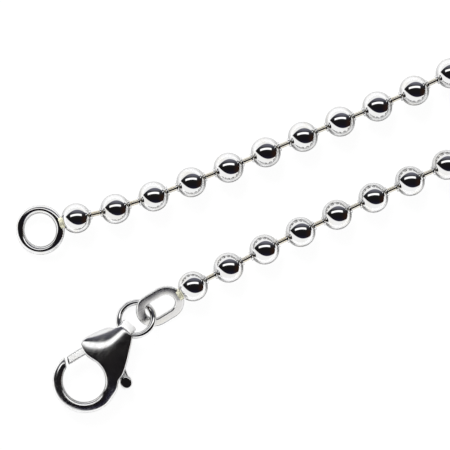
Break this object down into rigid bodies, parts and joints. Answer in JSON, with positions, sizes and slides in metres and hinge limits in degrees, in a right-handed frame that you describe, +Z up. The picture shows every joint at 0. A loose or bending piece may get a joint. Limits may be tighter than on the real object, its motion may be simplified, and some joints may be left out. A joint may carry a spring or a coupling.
{
  "type": "ball chain necklace",
  "caption": "Necklace of hollow silver balls joined by headed pins, with a soldered end ring and a lobster clasp on a jump ring and a flat oval link.",
  "frame": {"origin": "middle of the outline of the necklace as it lies, on the surface", "axes": "+X from the fastening ends to the far bend of the loop, +Y from the clasp's run to the end ring's run, +Z up from the surface"},
  "size_m": [0.196, 0.081, 0.003],
  "materials": {
    "polished_silver": "polished",
    "brushed_silver": "brushed"
  },
  "bodies": {
    "necklace": {"chain_balls": "polished_silver", "chain_pins": "polished_silver", "end_ring": "polished_silver", "oval_link": "brushed_silver", "jump_ring": "polished_silver", "clasp_body": "polished_silver", "clasp_pin": "polished_silver"},
    "gate": {"gate_lever": "polished_silver"}
  },
  "joints": [
    {"name": "gate_hinge", "type": "hinge", "parent": "necklace", "child": "gate", "pos_m": [-0.09084, -0.00664, 0.0013], "axis": [0, 0, 1], "range_deg": [0, 25], "stiffness_Nm_per_rad": 0.001, "springref_deg": -20.05}
  ]
}
